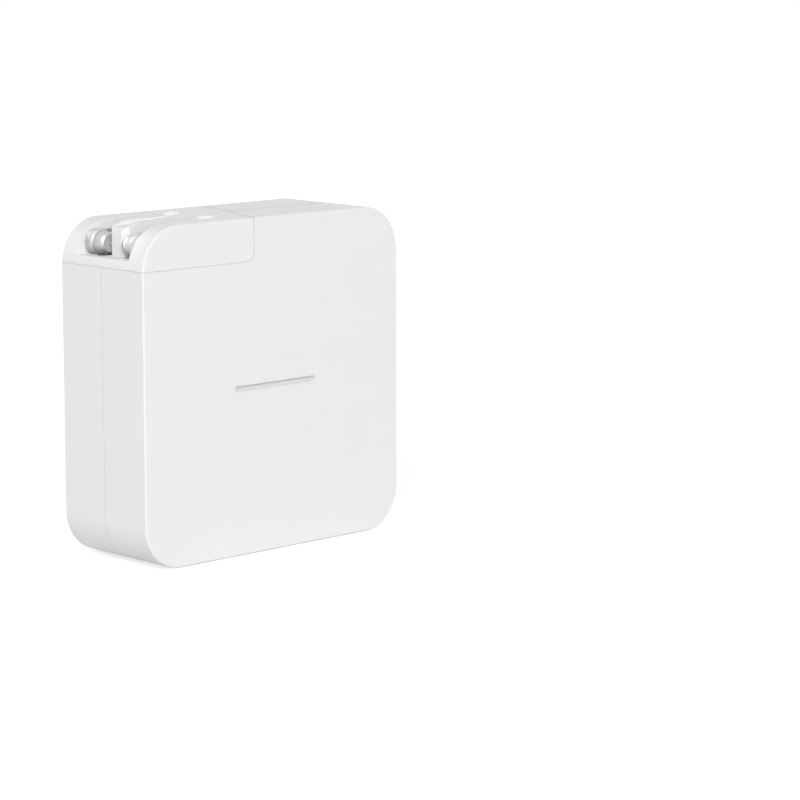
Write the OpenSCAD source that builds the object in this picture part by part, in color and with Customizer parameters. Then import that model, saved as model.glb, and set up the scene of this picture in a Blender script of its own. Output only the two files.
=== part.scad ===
// Square laptop power adapter with a folding two-blade plug in one corner.
// It stands on its bottom edge: X runs left to right, Y front to rear, Z up, origin under the middle.

/* [Housing] */
// Width of the housing, left to right
body_w = 80; // [78:0.5:90]
// Height of the housing as it stands
body_h = 80; // [78:0.5:90]
// Thickness of the housing, front to rear
body_t = 30; // [29:0.5:33]
// Radius of the four big corners
corner_r = 10.5; // [9:0.5:13]
// Radius of the small fillet round both big faces
edge_r = 0.45; // [0.2:0.05:0.8]
// Wall thickness of both shells
wall = 2; // [1.8:0.1:2.3]
// Visible gap between the two shells at the mid seam
seam_gap = 0.05; // [0.03:0.01:0.2]
// Thickness of the rear shell's tongue that enters the front shell
lap_t = 0.9; // [0.7:0.05:1.1]
// Height of that tongue past the mid seam
lap_h = 1.4; // [1:0.1:2.2]
// Clearance of pieces that fit into each other by hand
fit = 0.1; // [0.05:0.05:0.15]

/* [Front groove] */
// Length of the short groove in the front face
groove_w = 25.4; // [15:0.1:40]
// Height of the groove
groove_h = 1.3; // [0.8:0.1:2.5]
// Depth of the groove
groove_d = 0.6; // [0.3:0.1:1]

/* [Plug head] */
// Height of the plug head, down from the top face
head_h = 10.2; // [10:0.1:11]
// Width of the plug head at the front face
head_front_w = 33.6; // [33:0.1:36]
// Width of the plug head at the rear face
head_rear_w = 43.4; // [38:0.1:46]
// Radius of the plug head's lower inner corner
head_corner_r = 2.3; // [1.5:0.1:3]
// Visible gap between the plug head and the shells
head_gap = 0.05; // [0.03:0.01:0.2]
// Outer wall of the plug head over its hollow underside
head_skin = 1.8; // [1.4:0.1:2.2]
// Depth of the skirt that locates the plug head between the shells
skirt_h = 2; // [1.8:0.1:2.4]
// Thickness of the skirt and of the slot walls
skirt_t = 1.2; // [0.9:0.1:1.4]
// Width of each prong slot
slot_w = 6.5; // [5.5:0.1:7]
// Height of the slots' outlet lip over the plug head's lower seam
slot_lip = 2.2; // [1.6:0.1:2.6]
// Width of the rib's flat end between its chamfered corners
rib_end_w = 3.5; // [3:0.1:4.2]
// Wall of the rib between the slots, in front of the pin's bearing
rib_wall = 0.3; // [0.25:0.05:0.8]
// Width of the finger scoop in the rib between the slots
scoop_w = 4.2; // [3.6:0.1:4.6]
// Length of the finger scoop, from the pivot towards the slots' ends
scoop_l = 18.4; // [10:0.1:20]
// Slope of the finger scoop in degrees
scoop_slope = 4; // [2:0.5:5]

/* [Folding prongs] */
// Distance between the two blades' middles
blade_pitch = 12.7; // [12.5:0.1:13]
// Width of a blade
blade_w = 6.3; // [6:0.05:6.4]
// Thickness of a blade
blade_t = 1.5; // [1.3:0.05:1.7]
// Length of a blade past the top face when it is folded out
blade_reach = 17; // [15.5:0.1:17.5]
// Radius of a blade's tip corners
tip_r = 1.6; // [0.8:0.1:2.4]
// Diameter of the hole near a blade's tip
tip_hole_d = 3.1; // [2:0.1:3.4]
// Distance from the blade's tip to that hole's middle
tip_hole_at = 5.2; // [4:0.1:6.5]
// Pivot axis, in from the left side
pivot_inset = 5.6; // [5.5:0.05:6]
// Pivot axis, down from the top face
pivot_depth = 5.3; // [5.2:0.05:5.6]
// Radius of each prong's outer heel
heel_r = 3.1; // [2.9:0.05:3.15]
// Radius of the inner heel and of the blade's round root
root_r = 2.6; // [2.4:0.05:2.8]
// Distance from the pivot axis to the blade's full width
root_l = 0.6; // [0.3:0.1:1.2]
// Gap between the outer heels and the slots' outer walls
heel_gap = 0.2; // [0.15:0.05:0.4]
// Gap between the inner heels and the rib between the slots
rib_gap = 0.3; // [0.25:0.05:0.5]
// Chamfer on the outer heels' outer rims
heel_bevel = 0.45; // [0.2:0.05:0.6]
// Chamfer on the outer heels' rims towards the blades
heel_rim = 0.27; // [0.15:0.01:0.4]
// Distance by which the outer heels overlap the blades
heel_overlap = 0.4; // [0.3:0.05:0.8]
// Taper of the inner heels' free ends, in radius
taper_r = 0.6; // [0.3:0.05:0.8]
// Length of that taper
taper_l = 0.8; // [0.4:0.05:1.2]
// Side of the square hub that insulates each prong from the pin
hub_square = 2.4; // [2.2:0.05:2.6]
// Radius of the insulating washer between an inner heel and the rib
washer_r = 2.1; // [1.9:0.05:2.3]
// Thickness of that washer
washer_t = 0.2; // [0.15:0.01:0.22]
// Radius of the steel pivot pin
pin_r = 0.6; // [0.55:0.05:0.7]
// Depth of the pin's bearings in the flanges beside the slots
pin_seat = 1.6; // [1.2:0.1:2.2]
// Radial running clearance of the pin
run_fit = 0.05; // [0.03:0.01:0.08]
// Gap round the turning blades and heels
swing_gap = 0.35; // [0.3:0.05:0.5]
// Gap between a folded blade's tip and its slot's round end
tip_gap = 1.7; // [1:0.1:3]

/* [Output socket] */
// Outer width of the socket's metal shell
port_w = 8.94; // [8.8:0.01:9.1]
// Outer height of the socket's metal shell
port_h = 3.2; // [3.1:0.01:3.4]
// Wall of the metal shell
port_wall = 0.3; // [0.2:0.05:0.35]
// Length of the metal shell
port_l = 7.35; // [6.5:0.05:9]
// Distance of the socket's mouth behind the bottom face
port_recess = 0.35; // [0.2:0.05:0.8]
// Gap between the metal shell and the housing's opening
port_gap = 0.15; // [0.1:0.05:0.3]
// Chamfer round the housing's opening
port_bevel = 0.4; // [0.2:0.05:0.6]
// Width of the tongue
tongue_w = 6.7; // [6.4:0.05:6.8]
// Thickness of the tongue
tongue_t = 0.7; // [0.6:0.05:0.8]
// Distance of the tongue's end behind the socket's mouth
tongue_recess = 0.9; // [0.7:0.05:1.5]
// Contacts on each side of the tongue
contact_count = 8; // [4:1:12]
// Width of one contact
contact_w = 0.3; // [0.2:0.02:0.4]
// Thickness of one contact
contact_t = 0.06; // [0.05:0.01:0.1]

/* [Circuit boards] */
// Thickness of the three circuit boards
board_t = 1.6; // [1.2:0.1:1.7]
// Space under the main board, towards the front shell
under_board = 3.5; // [3:0.1:4]
// Gap between the main board's edges and the shells' walls
board_gap = 1.5; // [1:0.1:2]
// Distance of the main board's raised part from the plug head
board_step_gap = 5.6; // [4:0.1:7]
// Diameter of the posts that carry the main board
post_d = 4.5; // [4:0.1:5]
// Diameter of the pegs on the posts
peg_d = 2; // [1.6:0.1:2.4]
// Height of the output board, up from the bottom wall
out_board_h = 21; // [18:0.5:22]
// Width of the output board, front to rear
out_board_d = 18.6; // [17:0.1:19.4]
// Thickness of the ribs that hold the output board's rear edge
board_rib_t = 1; // [0.8:0.1:1.4]
// Distance of those ribs from the bottom wall
board_rib_low = 6; // [4:0.5:8]
// Distance of the ribs' tops from the board's top edge, and their hold on the board
board_rib_in = 2; // [1.5:0.1:3]
// Thickness of the strip that the contact springs are bent from
spring_t = 0.4; // [0.3:0.05:0.5]
// Width of a contact spring
spring_w = 1.8; // [1.4:0.1:2]
// Gap between a contact spring and the heel over it
spring_gap = 0.25; // [0.15:0.05:0.35]
// Radius of a contact spring's dome
spring_dome = 1.3; // [1:0.1:1.5]
// Gap round a contact spring in the opening over it
window_gap = 0.3; // [0.25:0.05:0.5]

/* [Power parts] */
// Diameter of the fuse
fuse_d = 8.4; // [7:0.1:9]
// Height of the fuse
fuse_h = 7.7; // [6:0.1:10]
// Diameter of the varistor
varistor_d = 9; // [7:0.1:9.4]
// Thickness of the varistor
varistor_t = 3.8; // [3:0.1:4.4]
// Width of the X capacitor
xcap_w = 15.6; // [13:0.1:16]
// Depth of the X capacitor
xcap_d = 7; // [5:0.1:7.4]
// Height of the X capacitor
xcap_h = 13; // [10:0.1:15]
// Outer radius of the choke's ring core
choke_r = 8; // [7:0.1:8.2]
// Radius of the hole in the choke's ring core
choke_hole_r = 4.4; // [4:0.1:5]
// Height of the choke's ring core
choke_h = 7.5; // [5:0.1:9]
// Thickness of the windings on the choke
choke_wire = 0.9; // [0.6:0.1:1]
// Width of the bridge rectifier
bridge_w = 14.6; // [12:0.1:15]
// Thickness of the bridge rectifier
bridge_t = 3.6; // [3:0.1:4]
// Height of the bridge rectifier's body
bridge_h = 10.5; // [9:0.1:12]
// Diameter of each bulk capacitor
bulk_d = 14; // [12:0.1:14.4]
// Length of each bulk capacitor
bulk_l = 26; // [22:0.1:27]
// Width of the boost inductor's core
boost_w = 20; // [18:0.1:21]
// Depth of the boost inductor's core
boost_d = 15; // [13:0.1:16]
// Height of the boost inductor's core
boost_h = 16; // [13:0.1:17]
// Width of the transformer's core
core_w = 27; // [25:0.1:28]
// Depth of the transformer's core
core_d = 21; // [19:0.1:22]
// Radius of the transformer's round middle leg
core_leg_r = 5.2; // [4.5:0.1:5.6]
// Thickness of the ferrite plates and outer legs
core_plate = 3; // [2.4:0.1:3.2]
// Thickness of the thermal pad on the transformer
pad_t = 1.2; // [0.8:0.1:2]
// Diameter of the Y capacitor
ycap_d = 7; // [6:0.1:8]
// Thickness of the Y capacitor
ycap_t = 3.2; // [2.6:0.1:3.6]
// Width of a power transistor
fet_w = 10; // [9:0.1:10.4]
// Thickness of a power transistor
fet_t = 4.4; // [4:0.1:4.6]
// Height of a power transistor's body
fet_h = 11; // [9:0.1:12]
// Thickness of the heatsink between the power transistors
sink_t = 1.2; // [1:0.1:1.6]
// Height of that heatsink
sink_h = 17; // [14:0.1:17.5]
// Distance by which that heatsink stands out beside the transistors
sink_edge = 0.5; // [0.3:0.1:1]
// Diameter of the output capacitors
outcap_d = 8; // [7:0.1:8.4]
// Height of the output capacitors
outcap_h = 12; // [9:0.1:14]
// Outer radius of the output inductor's ring
outcoil_r = 5.4; // [4.5:0.1:5.6]
// Height of the output inductor's ring
outcoil_h = 5; // [4:0.1:7]
// Thickness of the aluminium heat spreader
spreader_t = 0.8; // [0.5:0.1:1]
// Thickness of the insulating sheets
sheet_t = 0.3; // [0.2:0.05:0.4]
// Distance of the sheets' edges from the main board's edges
sheet_edge = 1; // [0.5:0.1:2]
// Corner radius of the sheets
sheet_r = 3; // [1:0.5:5]

/* [Hidden] */
$fn = 64;
big = 200;
eps = 0.01;

// Inside of the housing
in_x = body_w / 2 - wall;
in_y = body_t / 2 - wall;

// Plug head: its parting face runs straight from the front width to the rear width
head_z = body_h - head_h;
head_mid_x = -body_w / 2 + (head_front_w + head_rear_w) / 2;
head_skew = atan((head_rear_w - head_front_w) / body_t);
skirt_left = -in_x + fit;
skirt_y = in_y - fit;

// Prongs and slots
pivot_x = -body_w / 2 + pivot_inset;
pivot_z = body_h - pivot_depth;
blade_y = blade_pitch / 2;
blade_l = blade_reach + pivot_depth;
swing_r = blade_w / 2 + swing_gap;
slot_end = pivot_x + blade_l + tip_gap;
slot_floor = pivot_z - swing_r;
slot_in = blade_y - slot_w / 2;
slot_out = blade_y + slot_w / 2;
skirt_right = slot_end + skirt_t;
heel_in = slot_in + rib_gap;
heel_out = slot_out - heel_gap;
spring_y = (heel_in + blade_y - blade_t / 2) / 2;

// Main board, its parts' side and the free height over it
board_step_x = -body_w / 2 + head_rear_w + board_step_gap;
board_y = -in_y + under_board + board_t;
board_low = wall + board_gap;
board_high = head_z - skirt_h - 2 * fit;
lift = 0.3;
sheet_y = in_y - 2 * fit - spreader_t - sheet_t;
free_h = sheet_y - fit - board_y;
core_h = free_h - pad_t - 2 * fit;

// Places of the parts on the main board, spread evenly over its height and its width
board_left = -in_x + board_gap;
board_right = in_x - board_gap;
row_gap = 1;
row_d = max(fuse_d, varistor_d, xcap_d);
gap_z = (board_high - board_low - boost_d - 2 * bulk_d - row_d) / 5;
boost_z = board_low + gap_z + boost_d / 2;
bulk_low_z = boost_z + boost_d / 2 + gap_z + bulk_d / 2;
bulk_z = [bulk_low_z, bulk_low_z + bulk_d + gap_z];
row_top_z = board_high - gap_z - row_d / 2;
choke_d = 2 * (choke_r + choke_wire);
gap_top = (board_right - board_left - fuse_d - varistor_t - xcap_w - bridge_w - choke_d) / 6;
fuse_x = board_left + gap_top + fuse_d / 2;
varistor_x = fuse_x + fuse_d / 2 + gap_top + varistor_t / 2;
xcap_x = varistor_x + varistor_t / 2 + gap_top + xcap_w / 2;
bridge_x = xcap_x + xcap_w / 2 + gap_top + bridge_w / 2;
choke_x = board_right - gap_top - choke_d / 2;
choke_z = body_h - wall - board_gap - choke_d / 2 - 2 * row_gap;
gap_x = (board_right - board_left - bulk_l - fet_w - 2 * sink_edge - core_w) / 4;
boost_x = board_left + gap_x + boost_w / 2;
bulk_x = board_left + gap_x + bulk_l / 2;
fet_x = bulk_x + bulk_l / 2 + gap_x + sink_edge + fet_w / 2;
core_x = board_right - gap_x - core_w / 2;
sink_z = bulk_z[0] + bulk_d / 2 - row_gap;
opto_z = sink_z + sink_t / 2 + fet_t + 4.5;
ycap_z = sink_z - sink_t / 2 - fet_t - row_gap - ycap_t / 2;
outcap_z = board_low + 2 + outcap_d / 2;
outcap_x = [for (i = [0:2]) port_h / 2 + 5 + outcap_d / 2 + i * (outcap_d + row_gap)];
outcoil_x = outcap_x[0] + 2;
outcoil_z = outcap_z + outcap_d / 2 + row_gap + outcoil_r;
core_z = (outcoil_z + outcoil_r + choke_z - choke_d / 2) / 2;
sheet_w = board_right - board_left - 2 * sheet_edge;
post_at = [[-in_x + 7, board_high - 3.5], [in_x - 7, board_low + 3.5], [-in_x + 7, board_low + 3.5],
    [in_x - 5, choke_z - choke_r - 5]];

// Output board stands beside the socket
out_board_x = -port_h / 2 - fit;
out_board_low = wall + fit;
out_board_high = out_board_low + out_board_h;
out_board_end = board_y + out_board_d;

// ---- Plane shapes -------------------------------------------------------

module rounded_rect(w, h, r) {
    square([w - 2 * r, h], center = true);
    square([w, h - 2 * r], center = true);
    for (x = [-1, 1], y = [-1, 1])
        translate([x * (w / 2 - r), y * (h / 2 - r)]) circle(r);
}

// Flat oval, w long and h high
module oval(w, h) {
    square([w - h, h], center = true);
    for (x = [-1, 1]) translate([x * (w - h) / 2, 0]) circle(h / 2);
}

// ---- Housing ------------------------------------------------------------

// Sweeps a wall section round the four corners and along the four sides. The section's x is the
// distance from a corner's centre and its y the distance from the mid seam.
module sweep_round() {
    cx = body_w / 2 - corner_r;
    cy = body_h / 2 - corner_r;
    for (i = [0:3]) {
        centre = [(i == 0 || i == 3) ? cx : -cx, (i < 2) ? cy : -cy, 0];
        side = (i % 2 == 0) ? 2 * cy : 2 * cx;
        translate(centre) rotate([0, 0, 90 * i]) {
            rotate_extrude(angle = 90) children();
            rotate([90, 0, 0]) linear_extrude(side) children();
        }
    }
}

module plate_middle(z, t) {
    translate([0, 0, z + t / 2])
        cube([body_w - 2 * corner_r, body_h - 2 * corner_r, t], center = true);
}

// Outer half of a wall section with its filleted edge, from height z0 up to the big face
module wall_section(x0, z0) {
    translate([x0, z0]) square([corner_r - x0, body_t / 2 - edge_r - z0]);
    translate([0, body_t / 2 - wall]) square([corner_r - edge_r, wall]);
    translate([corner_r - edge_r, body_t / 2 - edge_r]) circle(edge_r);
}

module front_section() {
    rebate = corner_r - wall + lap_t + fit;
    wall_section(corner_r - wall, lap_h + fit);
    translate([rebate, seam_gap / 2]) square([corner_r - rebate, lap_h + fit]);
}

module rear_section() {
    wall_section(corner_r - wall, seam_gap / 2);
    translate([corner_r - wall, -lap_h]) square([lap_t, lap_h + wall]);
}

module to_front() { translate([0, 0, body_h / 2]) rotate([90, 0, 0]) children(); }
module to_rear() { translate([0, 0, body_h / 2]) rotate([-90, 0, 0]) children(); }

// Solid of the whole housing's outside
module envelope() {
    for (half = [0, 1]) rotate([0, 0, 180 * half]) to_front() {
        sweep_round() wall_section(0, 0);
        plate_middle(0, body_t / 2);
    }
}

// Space of the plug head, grown by g on its parting faces
module head_zone(g) {
    r = head_corner_r;
    translate([head_mid_x, 0, head_z]) rotate([0, 0, -head_skew]) rotate([90, 0, 0])
        linear_extrude(2 * body_t, center = true) {
            translate([-big, r - g]) square([big + g, big]);
            translate([-big, -g]) square([big + g - r, big]);
            translate([g - r, r - g]) circle(r);
        }
}

module port_opening() {
    w = port_w + 2 * port_gap;
    h = port_h + 2 * port_gap;
    translate([0, 0, -eps]) linear_extrude(wall + 2 * eps) rotate(90) oval(w, h);
    for (y = [-1, 1]) translate([0, y * (w - h) / 2, -eps])
        cylinder(h = port_bevel, r1 = h / 2 + port_bevel, r2 = h / 2);
    rotate([90, 0, 0]) linear_extrude(w - h, center = true)
        polygon([[-h / 2 - port_bevel, -eps], [h / 2 + port_bevel, -eps],
            [h / 2, port_bevel - eps], [-h / 2, port_bevel - eps]]);
}

module board_posts(d, y0, y1) {
    for (p = post_at) translate([p[0], y0, p[1]]) rotate([-90, 0, 0]) cylinder(h = y1 - y0, d = d);
}

module front_shell() {
    color("white") difference() {
        union() {
            to_front() {
                sweep_round() front_section();
                plate_middle(body_t / 2 - wall, wall);
            }
            board_posts(post_d, -in_y - wall / 2, board_y - board_t);
            board_posts(peg_d, -in_y, board_y - lift);
        }
        head_zone(head_gap);
        port_opening();
        translate([0, -body_t / 2 + groove_d, body_h / 2]) rotate([90, 0, 0])
            linear_extrude(groove_d + 1) oval(groove_w, groove_h);
    }
}

module rear_shell() {
    rib_y = out_board_end - board_rib_in;
    rib_h = out_board_high - board_rib_in - wall - board_rib_low;
    color("white") difference() {
        union() {
            to_rear() {
                sweep_round() rear_section();
                plate_middle(body_t / 2 - wall, wall);
            }
            for (x = [out_board_x - board_t - fit - board_rib_t, out_board_x + fit])
                translate([x, rib_y, wall + board_rib_low])
                    cube([board_rib_t, in_y + wall / 2 - rib_y, rib_h]);
        }
        head_zone(head_gap);
        port_opening();
    }
}

// ---- Plug head ----------------------------------------------------------

// One prong slot, open on the top face and over the rounded corner
module prong_slot() {
    top = body_h + 1;
    translate([0, 0, slot_floor]) linear_extrude(top - slot_floor) {
        translate([pivot_x, slot_in]) square([slot_end - slot_w / 2 - pivot_x, slot_w]);
        translate([slot_end - slot_w / 2, blade_y]) circle(slot_w / 2);
    }
    translate([pivot_x, slot_in, pivot_z]) rotate([-90, 0, 0]) cylinder(h = slot_w, r = swing_r);
    translate([-body_w / 2 - 1, slot_in, pivot_z])
        cube([pivot_inset + 1 + swing_r, slot_w, top - pivot_z]);
    spring_window();
}

// Opening in the slot's floor for a contact spring
module spring_window() {
    half_l = 2 * spring_dome + window_gap;
    half_w = spring_w / 2 + window_gap;
    translate([pivot_x - half_l, spring_y - half_w, head_z - 1])
        cube([2 * half_l, 2 * half_w, pivot_z - head_z]);
}

// The corner is open over the lip, so that a finger reaches the prongs
module corner_opening() {
    end = pivot_x - pin_r - run_fit - rib_wall;
    flat = rib_end_w / 2;
    bevel_x = end + slot_in - flat;
    translate([0, 0, head_z + slot_lip]) linear_extrude(head_h)
        polygon([[-big, -slot_out], [end, -slot_out], [bevel_x, -slot_in], [end, -flat],
            [end, flat], [bevel_x, slot_in], [end, slot_out], [-big, slot_out]]);
}

module head_hollows() {
    wide = [pivot_x + pin_r + 2, slot_end - skirt_t];
    flange_in = slot_out + skirt_t;
    flange_out = body_t / 2 - head_skin;
    for (y = [-flange_out, flange_in])
        translate([wide[0], y, head_z - 1])
            cube([wide[1] - wide[0], flange_out - flange_in, head_h - head_skin + 1]);
    translate([pivot_x + swing_r + skirt_t, -slot_in + skirt_t, head_z - 1])
        cube([scoop_l - swing_r, 2 * (slot_in - skirt_t), head_h - head_skin - 1.4]);
    intersection() {
        translate([head_mid_x, 0, 0]) rotate([0, 0, -head_skew])
            translate([-big - head_corner_r - 0.6, -big / 2, 0]) cube([big, big, big]);
        translate([skirt_right, -flange_out, head_z - 1])
            cube([big, 2 * flange_out, head_h - head_skin + 1]);
    }
}

module skirt() {
    translate([0, 0, head_z - skirt_h]) linear_extrude(skirt_h + 0.5) difference() {
        translate([skirt_left, -skirt_y]) square([skirt_right - skirt_left, 2 * skirt_y]);
        translate([skirt_left + skirt_t, -skirt_y + skirt_t])
            square([skirt_right - skirt_left - 2 * skirt_t, 2 * (skirt_y - skirt_t)]);
    }
}

module plug_head() {
    color("white") difference() {
        union() {
            intersection() {
                envelope();
                head_zone(0);
            }
            skirt();
        }
        for (y = [0, 1]) mirror([0, y, 0]) prong_slot();
        corner_opening();
        translate([pivot_x + scoop_l, 0, body_h]) rotate([0, -scoop_slope, 0])
            translate([-big, -scoop_w / 2, 0]) cube([big, scoop_w, head_h]);
        translate([pivot_x, -slot_out - pin_seat, pivot_z]) rotate([-90, 0, 0])
            cylinder(h = 2 * (slot_out + pin_seat), r = pin_r + run_fit);
        head_hollows();
    }
}

// ---- Folding prongs, modelled folded flat, tips towards +X ----------------

// Turned ring from y0 to y1 about the pivot axis, its first rim cut back by r0 over l0 and its
// last rim by a chamfer b1
module heel_ring(r, y0, y1, r0, l0, b1) {
    translate([pivot_x, y0, pivot_z]) rotate([-90, 0, 0]) rotate_extrude()
        polygon([[0, 0], [r - r0, 0], [r, l0], [r, y1 - y0 - b1], [r - b1, y1 - y0], [0, y1 - y0]]);
}

module blade_outline() {
    circle(root_r);
    translate([root_l, -blade_w / 2]) square([blade_l - tip_r - root_l, blade_w]);
    translate([blade_l - tip_r - eps, -blade_w / 2 + tip_r]) square([tip_r + eps, blade_w - 2 * tip_r]);
    for (y = [-1, 1]) translate([blade_l - tip_r, y * (blade_w / 2 - tip_r)]) circle(tip_r);
}

module blade() {
    translate([pivot_x, blade_y + blade_t / 2, pivot_z]) rotate([90, 0, 0])
        linear_extrude(blade_t) difference() {
            blade_outline();
            translate([blade_l - tip_hole_at, 0]) circle(tip_hole_d / 2);
        }
}

module hub_hole() {
    side = hub_square + 2 * run_fit;
    translate([pivot_x - side / 2, 0, pivot_z - side / 2]) cube([side, body_t, side]);
}

module prong() {
    difference() {
        union() {
            blade();
            heel_ring(heel_r, blade_y + blade_t / 2 - heel_overlap, heel_out, heel_rim, heel_rim,
                heel_bevel);
            heel_ring(root_r, heel_in, blade_y, taper_r, taper_l, eps);
        }
        hub_hole();
    }
}

module prong_rear() { color([0.78, 0.78, 0.8]) prong(); }
module prong_front() { color([0.78, 0.78, 0.8]) mirror([0, 1, 0]) prong(); }

// Square plastic hub, pressed on the pin
module hub() {
    low = heel_in + run_fit;
    high = heel_out + heel_gap / 2;
    translate([pivot_x, low, pivot_z]) rotate([-90, 0, 0]) difference() {
        translate([-hub_square / 2, -hub_square / 2, 0]) cube([hub_square, hub_square, high - low]);
        translate([0, 0, -1]) cylinder(h = body_t, r = pin_r - run_fit);
    }
}

module hub_rear() { color("whitesmoke") hub(); }
module hub_front() { color("whitesmoke") mirror([0, 1, 0]) hub(); }

// Washer that keeps a heel off the rib, half way between them
module washer() {
    translate([pivot_x, (slot_in + heel_in - washer_t) / 2, pivot_z]) rotate([-90, 0, 0]) difference() {
        cylinder(h = washer_t, r = washer_r);
        translate([0, 0, -1]) cylinder(h = body_t, r = pin_r);
    }
}

module washer_rear() { color("gray") washer(); }
module washer_front() { color("gray") mirror([0, 1, 0]) washer(); }

module pivot_pin() {
    half = slot_out + pin_seat - fit;
    color("silver") translate([pivot_x, -half, pivot_z]) rotate([-90, 0, 0])
        cylinder(h = 2 * half, r = pin_r - run_fit);
}

// ---- Plug contacts ------------------------------------------------------

// Bent strip under a heel: a foot on the input board and a dome that ends just under the heel
module contact_spring(y) {
    dome = spring_dome;
    top = pivot_z - root_r - spring_gap;
    foot = head_z - fit;
    translate([pivot_x, y, 0]) rotate([90, 0, 0]) linear_extrude(spring_w, center = true) {
        translate([-2 * dome, foot]) square([dome + spring_t, spring_t]);
        translate([dome - spring_t, foot]) square([spring_t, top - dome - foot]);
        translate([-dome, foot]) square([spring_t, top - dome - foot]);
        translate([0, top - dome]) intersection() {
            difference() {
                circle(dome);
                circle(dome - spring_t);
            }
            translate([-dome, 0]) square([2 * dome, dome]);
        }
    }
}

module contact_springs() {
    color("goldenrod") for (side = [-1, 1]) contact_spring(side * spring_y);
}

module input_board() {
    color("darkgreen") translate([0, 0, head_z - fit - board_t]) linear_extrude(board_t)
        translate([skirt_left + skirt_t + fit, -skirt_y + skirt_t + fit])
            square([skirt_right - skirt_left - 2 * (skirt_t + fit), 2 * (skirt_y - skirt_t - fit)]);
}

// ---- Output socket, its mouth on the bottom face -------------------------

module port_shell() {
    color("dimgray") translate([0, 0, port_recess]) difference() {
        linear_extrude(port_l) rotate(90) oval(port_w, port_h);
        translate([0, 0, -eps]) linear_extrude(port_l - port_wall + eps)
            rotate(90) oval(port_w - 2 * port_wall, port_h - 2 * port_wall);
    }
}

module port_tongue() {
    base_l = 1.6;
    low = port_recess + tongue_recess;
    high = port_recess + port_l - port_wall - fit;
    color("darkgreen") {
        translate([-tongue_t / 2, -tongue_w / 2, low]) cube([tongue_t, tongue_w, high - low]);
        translate([0, 0, high - base_l]) linear_extrude(base_l) rotate(90)
            oval(port_w - 2 * port_wall - 2 * fit, port_h - 2 * port_wall - 2 * fit);
    }
}

module port_contacts() {
    pitch = (tongue_w - 0.7) / contact_count;
    low = port_recess + tongue_recess + 0.35;
    high = port_recess + port_l - 2.2;
    color("goldenrod") translate([0, 0, (low + high) / 2])
        for (side = [-1, 1], i = [0:contact_count - 1])
            translate([side * (tongue_t + contact_t) / 2, (i - (contact_count - 1) / 2) * pitch, 0])
                cube([contact_t, contact_w, high - low], center = true);
}

module output_board() {
    color("darkgreen") translate([out_board_x - board_t, board_y, out_board_low])
        cube([board_t, out_board_d, out_board_h]);
}

// ---- Main board and what stands on it -------------------------------------

// Local z points away from the board, towards the rear shell
module on_board(x, z) { translate([x, board_y, z]) rotate([-90, 0, 0]) children(); }
module block(w, d, h) { translate([-w / 2, -d / 2, 0]) cube([w, d, h]); }

module board_outline() {
    edge = wall + board_gap;
    difference() {
        translate([0, body_h / 2]) rounded_rect(body_w - 2 * edge, body_h - 2 * edge, corner_r - edge);
        translate([-big, board_high]) square([big + board_step_x, big]);
    }
}

module main_board() {
    color("darkgreen") difference() {
        translate([0, board_y, 0]) rotate([90, 0, 0]) linear_extrude(board_t) board_outline();
        board_posts(peg_d + 2 * fit, board_y - 2 * board_t, board_y + 1);
    }
}

module fuse() {
    color([0.2, 0.2, 0.22]) on_board(fuse_x, row_top_z) {
        cylinder(h = fuse_h - 0.6, d = fuse_d);
        cylinder(h = fuse_h, d = fuse_d - 1.6);
    }
}

module standing_disc(d, t) {
    translate([0, 0, lift + d / 2]) rotate([0, 90, 0]) cylinder(h = t, d = d, center = true);
    for (y = [-1, 1]) translate([0, y * d / 4, 0]) cylinder(h = d / 2, d = 0.7);
}

module varistor() {
    color("steelblue") on_board(varistor_x, row_top_z) standing_disc(varistor_d, varistor_t);
}

module x_capacitor() {
    color("khaki") on_board(xcap_x, row_top_z) linear_extrude(xcap_h) rounded_rect(xcap_w, xcap_d, 0.6);
}

// Ring of rectangular section, turned through an angle
module ring(r0, r1, z0, z1, turn) {
    rotate([0, 0, -turn / 2]) rotate_extrude(angle = turn) translate([r0, z0]) square([r1 - r0, z1 - z0]);
}

module choke_core() {
    color("darkslategray") on_board(choke_x, choke_z)
        translate([0, 0, lift + choke_wire]) rotate_extrude() translate([choke_hole_r, 0])
            square([choke_r - choke_hole_r, choke_h]);
}

// Sleeve of wire round a stretch of a ring core
module wound_sleeve(r0, r1, h, wire, turn) {
    gap = fit / 2;
    rotate([0, 0, -turn / 2]) rotate_extrude(angle = turn) difference() {
        translate([r0 - wire, 0]) square([r1 - r0 + 2 * wire, h + 2 * wire]);
        translate([r0 - gap, wire - gap]) square([r1 - r0 + 2 * gap, h + 2 * gap]);
    }
}

module choke_winding() {
    color("peru") on_board(choke_x, choke_z) translate([0, 0, lift]) for (a = [0, 180])
        rotate([0, 0, a]) wound_sleeve(choke_hole_r, choke_r, choke_h, choke_wire, 130);
}

module bridge_rectifier() {
    leg = 3;
    color([0.16, 0.16, 0.17]) on_board(bridge_x, row_top_z) {
        translate([0, 0, leg]) block(bridge_w, bridge_t, bridge_h);
        for (i = [-1.5:1:1.5]) translate([i * bridge_w / 4, 0, 0]) block(0.9, 0.7, leg + 1);
    }
}

// Aluminium can with its crimp groove
module can(d, l) {
    r = d / 2;
    rotate_extrude() polygon([[0, 0], [r - 0.5, 0], [r, 0.5], [r, 2], [r - 0.5, 2.5], [r - 0.5, 2.9],
        [r, 3.4], [r, l - 0.4], [r - 0.4, l], [0, l]]);
}

module bulk_capacitors() {
    color("midnightblue") for (z = bulk_z)
        translate([bulk_x - bulk_l / 2, board_y + lift + bulk_d / 2, z])
            rotate([0, 90, 0]) can(bulk_d, bulk_l);
}

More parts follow.
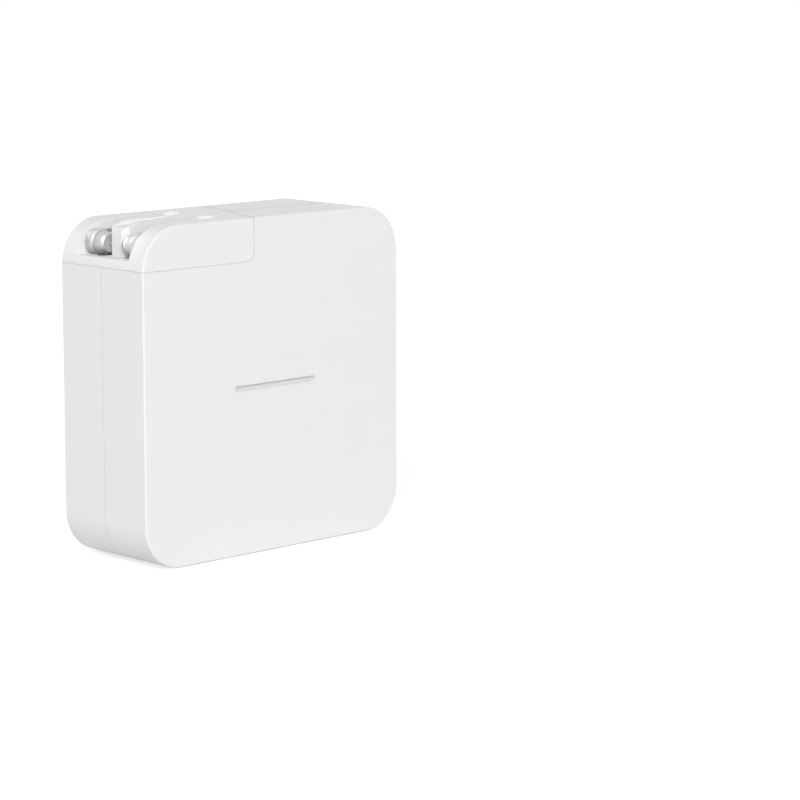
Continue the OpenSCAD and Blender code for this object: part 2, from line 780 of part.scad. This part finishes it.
// Ferrite core, open on two sides, with a round middle leg, plates above and below and two end legs
module round_leg_core(w, d, h, leg_r, plate) {
    difference() {
        block(w, d, h);
        translate([0, 0, plate]) difference() {
            block(w - 1.6 * plate, 2 * d, h - 2 * plate);
            translate([0, 0, -1]) cylinder(h = h, r = leg_r);
        }
    }
}

// Bobbin with its winding, round the middle leg of a core
module wound_bobbin(w, h, leg_r, plate) {
    t = 1;
    r0 = leg_r + fit;
    r1 = w / 2 - 0.8 * plate - 2 * fit;
    z0 = plate + fit;
    z1 = h - plate - fit;
    rotate_extrude() polygon([[r0, z0], [r1, z0], [r1, z0 + t], [r1 - t, z0 + t], [r1 - t, z1 - t],
        [r1, z1 - t], [r1, z1], [r0, z1]]);
}

module boost_core() {
    color("darkslategray") on_board(boost_x, boost_z)
        round_leg_core(boost_w, boost_d, boost_h, boost_d / 4, core_plate);
}

module boost_winding() {
    color("peru") on_board(boost_x, boost_z)
        wound_bobbin(boost_w, boost_h, boost_d / 4, core_plate);
}

module transformer_core() {
    color("darkslategray") on_board(core_x, core_z)
        round_leg_core(core_w, core_d, core_h, core_leg_r, core_plate);
}

module transformer_winding() {
    color("gold") on_board(core_x, core_z) wound_bobbin(core_w, core_h, core_leg_r, core_plate);
}

module thermal_pad() {
    color("lightgray") on_board(core_x, core_z) translate([0, 0, core_h + fit])
        linear_extrude(pad_t) rounded_rect(core_w - 4, core_d - 4, 1);
}

module primary_heatsink() {
    color("silver") on_board(fet_x, sink_z) block(fet_w + 2 * sink_edge, sink_t, sink_h);
}

module power_transistors() {
    leg = 3;
    color([0.16, 0.16, 0.17]) on_board(fet_x, sink_z) for (side = [-1, 1])
        translate([0, side * (sink_t / 2 + fit / 2 + fet_t / 2), 0]) {
            translate([0, 0, leg]) block(fet_w, fet_t, fet_h);
            for (i = [-1:1]) translate([i * 2.54, 0, 0]) block(0.8, 0.6, leg + 1);
        }
}

module optocoupler() {
    color([0.2, 0.2, 0.22]) on_board(fet_x, opto_z) {
        translate([0, 0, 0.5]) block(4.6, 6, 3.2);
        for (x = [-1.2, 1.2], y = [-3, 3]) translate([x, y, 0]) block(0.6, 0.8, 1.5);
    }
}

module y_capacitor() {
    color("royalblue") on_board(fet_x, ycap_z) rotate([0, 0, 90]) standing_disc(ycap_d, ycap_t);
}

module controller_chips() {
    color([0.16, 0.16, 0.17]) {
        translate([boost_x, board_y - board_t, boost_z]) rotate([90, 0, 0]) block(4.9, 3.9, 1.5);
        translate([fet_x, board_y - board_t, opto_z]) rotate([90, 0, 0]) block(6, 5, 1.5);
        translate([core_x, board_y - board_t, core_z]) rotate([90, 0, 0]) block(5, 6, 1.1);
        translate([out_board_x - board_t, board_y + out_board_d / 2, out_board_high - 5])
            rotate([0, -90, 0]) block(4, 4, 0.9);
    }
}

module output_capacitors() {
    color("lightslategray") for (x = outcap_x) on_board(x, outcap_z) can(outcap_d, outcap_h);
}

module output_inductor() {
    color("peru") on_board(outcoil_x, outcoil_z) difference() {
        union() {
            ring(outcoil_r / 2, outcoil_r - 0.6, 0.6, outcoil_h - 0.6, 360);
            for (a = [0:45:315]) rotate([0, 0, a])
                ring(outcoil_r / 2 - 0.6, outcoil_r, 0, outcoil_h, 30);
        }
    }
}

// ---- Sheets -------------------------------------------------------------

module heat_spreader() {
    low = out_board_high + 2 * sheet_edge;
    high = board_high - sheet_edge;
    color("silver") translate([0, in_y - fit, (low + high) / 2]) rotate([90, 0, 0])
        linear_extrude(spreader_t) rounded_rect(sheet_w, high - low, sheet_r);
}

module insulating_sheets() {
    low = out_board_high + 2 * sheet_edge;
    high = board_high - sheet_edge;
    front_h = board_high - board_low - 2 * sheet_edge;
    color("ivory") {
        translate([0, sheet_y + sheet_t, (low + high) / 2]) rotate([90, 0, 0])
            linear_extrude(sheet_t) rounded_rect(sheet_w, high - low, sheet_r);
        difference() {
            translate([0, -in_y + fit + sheet_t, (board_low + board_high) / 2]) rotate([90, 0, 0])
                linear_extrude(sheet_t) rounded_rect(sheet_w, front_h, sheet_r);
            board_posts(post_d + 4 * fit, -body_t / 2, 0);
        }
    }
}

front_shell();
rear_shell();
plug_head();
prong_front();
prong_rear();
hub_front();
hub_rear();
washer_front();
washer_rear();
pivot_pin();
contact_springs();
input_board();
port_shell();
port_tongue();
port_contacts();
output_board();
main_board();
fuse();
varistor();
x_capacitor();
choke_core();
choke_winding();
bridge_rectifier();
bulk_capacitors();
boost_core();
boost_winding();
primary_heatsink();
power_transistors();
transformer_core();
transformer_winding();
thermal_pad();
optocoupler();
y_capacitor();
controller_chips();
output_capacitors();
output_inductor();
heat_spreader();
insulating_sheets();
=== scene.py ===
import math

import bpy
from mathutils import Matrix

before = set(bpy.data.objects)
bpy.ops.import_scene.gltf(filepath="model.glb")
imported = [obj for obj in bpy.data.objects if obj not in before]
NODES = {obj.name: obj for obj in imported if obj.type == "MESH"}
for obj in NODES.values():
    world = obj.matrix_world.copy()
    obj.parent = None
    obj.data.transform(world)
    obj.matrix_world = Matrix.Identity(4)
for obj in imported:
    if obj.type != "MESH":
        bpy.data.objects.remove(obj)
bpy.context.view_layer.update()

MM = 0.001

# ---- Camera: its place and lens follow from the photograph's perspective --------------------------

CAMERA_AT = (-0.4683, -0.54031, 0.15275)
CAMERA_PITCH = 9.431      # degrees below the horizon
CAMERA_YAW = 44.13        # degrees from +Y towards +X
CAMERA_LENS = 135.14      # mm on a 36 mm wide sensor
CAMERA_SHIFT = 0.000625   # half a pixel of an 800 pixel frame

# ---- Light -----------------------------------------------------------------------------------------

AMBIENT = 0.14            # what the world gives to diffuse surfaces
WHITE = 1.0               # what the camera sees behind the object
LAMP_DISTANCE = 2.6
LAMP_AIM = 0.04           # height of the point that the lamps face, half way up the object
LAMPS = {                 # turn, rise, size, level
    "key": (41.5, 30, 1.6, 0.94),
    "back": (178, 15, 1.4, 0.55),
    "right": (272, 15, 1.4, 0.45),
}


def make_camera():
    data = bpy.data.cameras.new("camera")
    data.lens = CAMERA_LENS
    data.sensor_width = 36
    data.shift_x = -CAMERA_SHIFT
    data.shift_y = CAMERA_SHIFT
    data.clip_start = 0.01
    data.clip_end = 50
    camera = bpy.data.objects.new("camera", data)
    camera.location = CAMERA_AT
    camera.rotation_euler = (math.radians(90 - CAMERA_PITCH), 0, math.radians(-CAMERA_YAW))
    bpy.context.scene.collection.objects.link(camera)
    bpy.context.scene.camera = camera


# ---- Node helpers ------------------------------------------------------------------------------------


def new_material(name):
    """A material with an empty tree. Returns the material and its nodes' maker and linker."""
    made = bpy.data.materials.new(name)
    made.use_nodes = True
    made.node_tree.nodes.clear()
    return made, made.node_tree.nodes, made.node_tree.links


def sees_white(nodes, links):
    """1 for camera, glossy and transmission rays, which see the plain white background."""
    path = nodes.new("ShaderNodeLightPath")
    total = path.outputs["Is Camera Ray"]
    for name in ("Is Glossy Ray", "Is Transmission Ray"):
        top = nodes.new("ShaderNodeMath")
        top.operation = "MAXIMUM"
        links.new(total, top.inputs[0])
        links.new(path.outputs[name], top.inputs[1])
        total = top.outputs[0]
    return total


def make_world():
    world = bpy.data.worlds.new("studio")
    bpy.context.scene.world = world
    world.use_nodes = True
    nodes, links = world.node_tree.nodes, world.node_tree.links
    nodes.clear()
    out = nodes.new("ShaderNodeOutputWorld")
    mix = nodes.new("ShaderNodeMixShader")
    ambient = nodes.new("ShaderNodeBackground")
    ambient.inputs["Color"].default_value = (1, 1, 1, 1)
    ambient.inputs["Strength"].default_value = AMBIENT
    white = nodes.new("ShaderNodeBackground")
    white.inputs["Color"].default_value = (1, 1, 1, 1)
    white.inputs["Strength"].default_value = WHITE
    links.new(sees_white(nodes, links), mix.inputs["Fac"])
    links.new(ambient.outputs[0], mix.inputs[1])
    links.new(white.outputs[0], mix.inputs[2])
    links.new(mix.outputs[0], out.inputs["Surface"])


FLOOR_SIZE = 3.0
FLOOR_DROP = 0.05 * MM
FLOOR_ALBEDO = 0.85       # for the light that it gives back to the object
FLOOR_SHOWN = 0.42        # for rays that see white, where it carries the object's shadow
FLOOR_LIFT = (0.70, 1.0)  # added for those rays: near the object and far from it
FLOOR_NEAR, FLOOR_FAR = 0.08, 0.7


def make_floor():
    half = FLOOR_SIZE / 2
    mesh = bpy.data.meshes.new("floor")
    corners = [(-half, -half), (half, -half), (half, half), (-half, half)]
    mesh.from_pydata([(x, y, -FLOOR_DROP) for x, y in corners], [], [(0, 1, 2, 3)])
    floor = bpy.data.objects.new("floor", mesh)
    bpy.context.scene.collection.objects.link(floor)
    made, nodes, links = new_material("floor")
    out = nodes.new("ShaderNodeOutputMaterial")
    diffuse = nodes.new("ShaderNodeBsdfDiffuse")
    shown = sees_white(nodes, links)
    albedo = nodes.new("ShaderNodeMapRange")
    albedo.inputs["To Min"].default_value = FLOOR_ALBEDO
    albedo.inputs["To Max"].default_value = FLOOR_SHOWN
    links.new(shown, albedo.inputs["Value"])
    links.new(albedo.outputs[0], diffuse.inputs["Color"])
    lift = nodes.new("ShaderNodeEmission")
    lift.inputs["Color"].default_value = (1, 1, 1, 1)
    # the lamps' light falls off with the distance from the object, and the lift makes up for it
    away = nodes.new("ShaderNodeVectorMath")
    away.operation = "LENGTH"
    links.new(nodes.new("ShaderNodeTexCoord").outputs["Object"], away.inputs[0])
    rising = nodes.new("ShaderNodeMapRange")
    rising.inputs["From Min"].default_value = FLOOR_NEAR
    rising.inputs["From Max"].default_value = FLOOR_FAR
    rising.inputs["To Min"].default_value = FLOOR_LIFT[0]
    rising.inputs["To Max"].default_value = FLOOR_LIFT[1]
    links.new(away.outputs["Value"], rising.inputs["Value"])
    strength = nodes.new("ShaderNodeMath")
    strength.operation = "MULTIPLY"
    links.new(rising.outputs[0], strength.inputs[1])
    links.new(shown, strength.inputs[0])
    links.new(strength.outputs[0], lift.inputs["Strength"])
    add = nodes.new("ShaderNodeAddShader")
    links.new(diffuse.outputs[0], add.inputs[0])
    links.new(lift.outputs[0], add.inputs[1])
    links.new(add.outputs[0], out.inputs["Surface"])
    mesh.materials.append(made)


def area_light(name, turn, rise, size, level):
    """A square lamp aimed at the object. Turn is in degrees from -Y towards -X, and rise above the
    horizon. Level is the share of a white surface's full brightness that it gives one facing it."""
    data = bpy.data.lights.new(name, "AREA")
    data.size = size
    data.energy = level * (math.pi * LAMP_DISTANCE) ** 2
    lamp = bpy.data.objects.new(name, data)
    a, e = math.radians(turn), math.radians(rise)
    lamp.location = (-math.sin(a) * math.cos(e) * LAMP_DISTANCE, -math.cos(a) * math.cos(e) * LAMP_DISTANCE,
                     math.sin(e) * LAMP_DISTANCE + LAMP_AIM)
    lamp.rotation_euler = (math.pi / 2 - e, 0, -a)
    lamp.visible_camera = False
    bpy.context.scene.collection.objects.link(lamp)


def make_lights():
    for name, values in LAMPS.items():
        area_light(name, *values)


# ---- Materials ---------------------------------------------------------------------------------------


class Look:
    """A principled material that is built node by node, in the object's own coordinates in metres."""

    def __init__(self, name, roughness, metallic=0.0, **sockets):
        self.material, self.nodes, self.links = new_material(name)
        self.shader = self.nodes.new("ShaderNodeBsdfPrincipled")
        out = self.nodes.new("ShaderNodeOutputMaterial")
        self.links.new(self.shader.outputs[0], out.inputs["Surface"])
        self.shader.inputs["Metallic"].default_value = metallic
        self.shader.inputs["Roughness"].default_value = roughness
        for socket, value in sockets.items():
            self.shader.inputs[socket.replace("_", " ")].default_value = value
        self.place = self.nodes.new("ShaderNodeTexCoord").outputs["Object"]

    def noise(self, size, detail=2.0, stretch=(1, 1, 1)):
        """Noise whose patches are about size metres across, longer along an axis by its stretch."""
        spread = self.nodes.new("ShaderNodeMapping")
        spread.inputs["Scale"].default_value = [1 / (size * s) for s in stretch]
        self.links.new(self.place, spread.inputs["Vector"])
        made = self.nodes.new("ShaderNodeTexNoise")
        made.inputs["Scale"].default_value = 1
        made.inputs["Detail"].default_value = detail
        self.links.new(spread.outputs[0], made.inputs["Vector"])
        return made.outputs["Fac"]

    def between(self, value, low, high):
        """Maps the middle of a noise to a range."""
        made = self.nodes.new("ShaderNodeMapRange")
        made.inputs["From Min"].default_value = 0.3
        made.inputs["From Max"].default_value = 0.7
        made.inputs["To Min"].default_value = low
        made.inputs["To Max"].default_value = high
        self.links.new(value, made.inputs["Value"])
        return made.outputs[0]

    def roughness(self, value, low, high):
        """Roughness from low to high by a noise."""
        self.links.new(self.between(value, low, high), self.shader.inputs["Roughness"])

    def colour(self, value, first, second):
        """Base colour from first to second by a noise."""
        mix = self.nodes.new("ShaderNodeMix")
        mix.data_type = "RGBA"
        colours = [s for s in mix.inputs if s.type == "RGBA"]
        colours[0].default_value = (*first, 1)
        colours[1].default_value = (*second, 1)
        self.links.new(self.between(value, 0, 1), mix.inputs["Factor"])
        self.links.new([s for s in mix.outputs if s.type == "RGBA"][0], self.shader.inputs["Base Color"])

    def maths(self, operation, *values):
        """A maths node on numbers and sockets."""
        made = self.nodes.new("ShaderNodeMath")
        made.operation = operation
        for socket, value in zip(made.inputs, values):
            if isinstance(value, (int, float)):
                socket.default_value = value
            else:
                self.links.new(value, socket)
        return made.outputs[0]

    def box(self, low, high):
        """1 between two corners, and 0 elsewhere."""
        inside = 1
        for axis, bottom, top in zip(self.axes(), low, high):
            hit = self.maths("COMPARE", axis, (bottom + top) / 2, (top - bottom) / 2)
            inside = self.maths("MULTIPLY", hit, inside)
        return inside

    def axes(self):
        """The object's own x, y and z."""
        parts = self.nodes.new("ShaderNodeSeparateXYZ")
        self.links.new(self.place, parts.inputs[0])
        return list(parts.outputs)

    def near(self, value, at, reach):
        """1 where a value is at, falling to 0 at reach from it."""
        away = self.maths("ABSOLUTE", self.maths("SUBTRACT", value, at))
        return self.maths("MAXIMUM", self.maths("SUBTRACT", 1, self.maths("DIVIDE", away, reach)), 0)

    def painted_gap_shade(self, reach):
        """Rises to 1 where a facing wall lies within reach, as in the gap between two mouldings: the mask
        for painted shade in gaps, found by ambient occlusion.
        """
        open_share = self.nodes.new("ShaderNodeAmbientOcclusion")
        open_share.samples = 12
        open_share.inputs["Distance"].default_value = reach
        return self.maths("SUBTRACT", 1, open_share.outputs["AO"])

    def paint_shade(self, mask, depth):
        """Paints shade: takes up to depth of the colour away by a mask."""
        socket = self.shader.inputs["Base Color"]
        mix = self.nodes.new("ShaderNodeVectorMath")
        mix.operation = "SCALE"
        self.links.new(socket.links[0].from_socket, mix.inputs[0])
        self.links.new(self.maths("SUBTRACT", 1, self.maths("MULTIPLY", mask, depth)), mix.inputs["Scale"])
        self.links.new(mix.outputs[0], socket)

    def bump(self, value, depth):
        made = self.nodes.new("ShaderNodeBump")
        made.inputs["Strength"].default_value = 1
        made.inputs["Distance"].default_value = depth
        self.links.new(value, made.inputs["Height"])
        self.links.new(made.outputs[0], self.shader.inputs["Normal"])


# Places in the body's own coordinates: the front groove, the plug head's slanting end and the top face.
# The shades are painted shade: shares of the colour that the white plastic loses there.
GROOVE = (-12.9 * MM, -14.99 * MM, 39.2 * MM), (12.9 * MM, -13.9 * MM, 40.8 * MM)
GROOVE_WALLS = (-12.9 * MM, -14.99 * MM, 39.2 * MM), (12.9 * MM, -14.42 * MM, 40.8 * MM)
HEAD_END = -1.5 * MM
HEAD_SLANT = 9.8 / 30
TOP_FACE = 80 * MM
TOP_HALF_DEPTH = 14.95 * MM
SEAM_REACH = 0.25 * MM
SEAM_FADE = 4 * MM        # below the top face, where the corners turn down
SEAM_SHADE = 0.62
GROOVE_SHADE = 0.07
GROOVE_WALL_SHADE = 0.15
CREVICE_REACH = 0.2 * MM
CREVICE_SHADE = 1.0


def white_plastic(name, tone):
    look = Look(name, 0.5, IOR=1.46, Specular_IOR_Level=0.2)
    look.colour(look.noise(14 * MM), (tone, tone, tone * 1.004), (tone * 0.988, tone * 0.99, tone * 0.997))
    grain = look.noise(0.28 * MM, detail=3)
    look.roughness(grain, 0.46, 0.56)
    look.bump(grain, 0.004 * MM)
    return look


def top_seam(look, middle):
    """Painted shade along the top face's seams. The solids' edges are sharp there and their gap hardly shows
    at a low angle, so this stands in for the rounded edges of real mouldings."""
    x, y, z = look.axes()
    along = look.maths("SUBTRACT", x, look.maths("MULTIPLY", y, HEAD_SLANT))
    line = look.near(along, HEAD_END, SEAM_REACH)
    if middle:
        behind = look.maths("GREATER_THAN", along, HEAD_END)
        line = look.maths("MAXIMUM", line, look.maths("MULTIPLY", look.near(y, 0, SEAM_REACH), behind))
    inner = look.maths("COMPARE", y, 0, TOP_HALF_DEPTH)
    high = look.maths("MULTIPLY", look.near(z, TOP_FACE, SEAM_FADE), inner)
    look.paint_shade(look.maths("MULTIPLY", line, high), SEAM_SHADE)


def housing_white(name):
    look = white_plastic(name, 0.84)
    # Painted shade in the front groove, deeper on its walls.
    groove = look.box(*GROOVE)
    look.paint_shade(groove, GROOVE_SHADE)
    look.paint_shade(look.box(*GROOVE_WALLS), GROOVE_WALL_SHADE)
    # Painted shade in the gaps between mouldings, found by ambient occlusion, left out in the groove.
    gap_shade_outside_groove = look.maths("SUBTRACT", look.painted_gap_shade(CREVICE_REACH), groove)
    look.paint_shade(look.maths("MAXIMUM", gap_shade_outside_groove, 0), CREVICE_SHADE)
    top_seam(look, middle=True)
    return look.material


def plug_white(name):
    # The plug head's white is a little lighter than the housing's: painted light that lifts the head's
    # brightness.
    look = white_plastic(name, 0.845)
    top_seam(look, middle=False)
    return look.material


def brushed_metal(name, colour, stretch=(1, 1, 1), roughness=(0.22, 0.38), scratch=0.12 * MM):
    look = Look(name, 0.3, metallic=1.0)
    dark = tuple(c * 0.9 for c in colour)
    lines = look.noise(scratch, detail=4, stretch=stretch)
    look.colour(lines, colour, dark)
    look.roughness(lines, *roughness)
    look.bump(lines, 0.004 * MM)
    return look.material


def moulded(name, colour, roughness=(0.45, 0.6), grain=0.3 * MM, depth=0.01 * MM):
    look = Look(name, 0.5, IOR=1.5)
    look.colour(look.noise(4 * MM), colour, tuple(c * 0.88 for c in colour))
    fine = look.noise(grain, detail=3)
    look.roughness(fine, *roughness)
    look.bump(fine, depth)
    return look.material


def make_materials():
    return {
        "housing_white": housing_white("housing_white"),
        "plug_white": plug_white("plug_white"),
        "prong_metal": brushed_metal("prong_metal", (0.56, 0.56, 0.56), (3, 1, 1), (0.54, 0.62)),
        "hub_plastic": moulded("hub_plastic", (0.45, 0.45, 0.45)),
        "pin_steel": brushed_metal("pin_steel", (0.75, 0.75, 0.75), (1, 8, 1), (0.45, 0.6)),
        "spring_brass": brushed_metal("spring_brass", (0.60, 0.53, 0.40), stretch=(6, 1, 1)),
        "board_laminate": moulded("board_laminate", (0.05, 0.22, 0.12), (0.3, 0.45)),
        "socket_steel": brushed_metal("socket_steel", (0.35, 0.35, 0.36), stretch=(1, 1, 10)),
        "socket_tongue": moulded("socket_tongue", (0.06, 0.45, 0.11)),
        "contact_gold": brushed_metal("contact_gold", (0.85, 0.66, 0.3), stretch=(1, 1, 8)),
        "black_resin": moulded("black_resin", (0.04, 0.04, 0.042)),
        "blue_resin": moulded("blue_resin", (0.06, 0.2, 0.48), (0.2, 0.3), 2 * MM, 0.05 * MM),
        "yellow_case": moulded("yellow_case", (0.75, 0.62, 0.2)),
        "ferrite": moulded("ferrite", (0.07, 0.07, 0.075), (0.55, 0.75), 0.2 * MM, 0.02 * MM),
        "copper_winding": brushed_metal("copper_winding", (0.72, 0.36, 0.18), stretch=(1, 10, 1)),
        "yellow_tape": moulded("yellow_tape", (0.8, 0.66, 0.16)),
        "can_sleeve": moulded("can_sleeve", (0.03, 0.04, 0.12), (0.2, 0.3)),
        "can_aluminium": brushed_metal("can_aluminium", (0.7, 0.71, 0.73), stretch=(1, 8, 1)),
        "sheet_aluminium": brushed_metal("sheet_aluminium", (0.75, 0.75, 0.76), stretch=(12, 1, 1)),
        "thermal_silicone": moulded("thermal_silicone", (0.55, 0.57, 0.6), (0.7, 0.85)),
        "insulating_film": moulded("insulating_film", (0.85, 0.83, 0.76), (0.3, 0.4)),
    }


def dress_nodes(looks):
    """Each CAD node gets the material of its slot."""
    for node in NODES.values():
        for place in node.material_slots:
            place.material = looks[place.material.name.split(".")[0]]


EDGE_ANGLE = 40           # degrees, over which an edge counts as sharp
ROUNDED = {"plug_head": 0.22 * MM, "prong_front": 0.10 * MM, "prong_rear": 0.10 * MM}


def round_edges(node, width):
    """Moulding and stamping leave no sharp edge. The node's faces come apart, so they are welded first.
    The mesh's shortest edges hold the rounding to less than its width."""
    weld = node.modifiers.new("weld", "WELD")
    weld.merge_threshold = 0.002 * MM
    bevel = node.modifiers.new("round", "BEVEL")
    bevel.width = width
    bevel.segments = 2
    bevel.limit_method = "ANGLE"
    bevel.angle_limit = math.radians(EDGE_ANGLE)
    bevel.use_clamp_overlap = True
    bevel.harden_normals = True


make_camera()
make_world()
make_floor()
make_lights()
dress_nodes(make_materials())
for name, width in ROUNDED.items():
    round_edges(NODES[name], width)

scene = bpy.context.scene
scene.view_settings.view_transform = "Standard"
